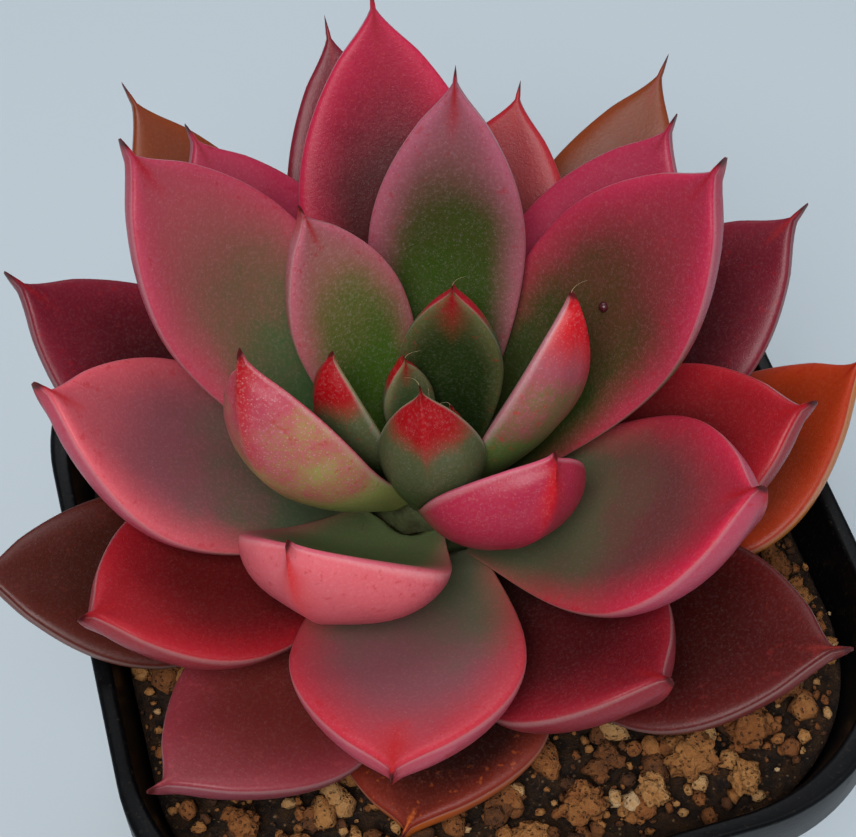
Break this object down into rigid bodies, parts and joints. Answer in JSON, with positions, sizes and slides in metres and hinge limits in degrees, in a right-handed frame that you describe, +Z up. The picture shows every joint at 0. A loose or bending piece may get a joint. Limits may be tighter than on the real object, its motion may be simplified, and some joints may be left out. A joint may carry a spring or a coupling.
{
  "type": "potted succulent",
  "caption": "Rosette succulent with thick, pointed, red-edged leaves, planted in gritty substrate in a small thin-walled square nursery pot.",
  "frame": {"origin": "centre of the pot's underside, on the surface it stands on", "axes": "+Z up, X and Y along the pot's sides; the rosette leans slightly towards -X and -Y"},
  "size_m": [0.1072, 0.103, 0.1301],
  "materials": {
    "pot": "satin black thin moulded plastic",
    "substrate": "dark, damp, gritty growing medium",
    "crumb": "rough porous tan to orange-brown crumbs",
    "stem": "dull corky stem and root",
    "heart_leaf": "satin waxy leaf, green with a red tip and keel",
    "young_leaf": "satin waxy leaf, green base, rose-pink margins, red tip",
    "mature_leaf": "satin waxy leaf, dark olive-maroon face with rose-red margins",
    "old_leaf": "satin waxy leaf, deep maroon to rust orange"
  },
  "bodies": {
    "root": {"pot": "pot", "substrate": "substrate", "stem": "stem", "leaf_01": "heart_leaf", "leaf_02": "heart_leaf", "leaf_03": "heart_leaf", "leaf_04": "heart_leaf", "leaf_05": "heart_leaf", "leaf_06": "heart_leaf", "leaf_07": "young_leaf", "leaf_08": "young_leaf", "leaf_09": "young_leaf", "leaf_10": "young_leaf", "leaf_11": "young_leaf", "leaf_12": "young_leaf", "leaf_13": "young_leaf", "leaf_14": "young_leaf", "leaf_15": "young_leaf", "leaf_16": "mature_leaf", "leaf_17": "mature_leaf", "leaf_18": "mature_leaf", "leaf_19": "mature_leaf", "leaf_20": "mature_leaf", "leaf_21": "mature_leaf", "leaf_22": "mature_leaf", "leaf_23": "mature_leaf", "leaf_24": "mature_leaf", "leaf_25": "mature_leaf", "leaf_26": "mature_leaf", "leaf_27": "old_leaf", "leaf_28": "old_leaf", "leaf_29": "old_leaf", "leaf_30": "old_leaf", "leaf_31": "old_leaf", "leaf_32": "old_leaf", "leaf_33": "old_leaf", "leaf_34": "old_leaf", "crumb_01": "crumb", "crumb_02": "crumb", "crumb_03": "crumb", "crumb_04": "crumb", "crumb_05": "crumb", "crumb_06": "crumb", "crumb_07": "crumb", "crumb_08": "crumb", "crumb_09": "crumb", "crumb_10": "crumb", "crumb_11": "crumb", "crumb_12": "crumb", "crumb_13": "crumb", "crumb_14": "crumb", "crumb_15": "crumb", "crumb_16": "crumb", "crumb_17": "crumb", "crumb_18": "crumb", "crumb_19": "crumb"}
  },
  "joints": []
}
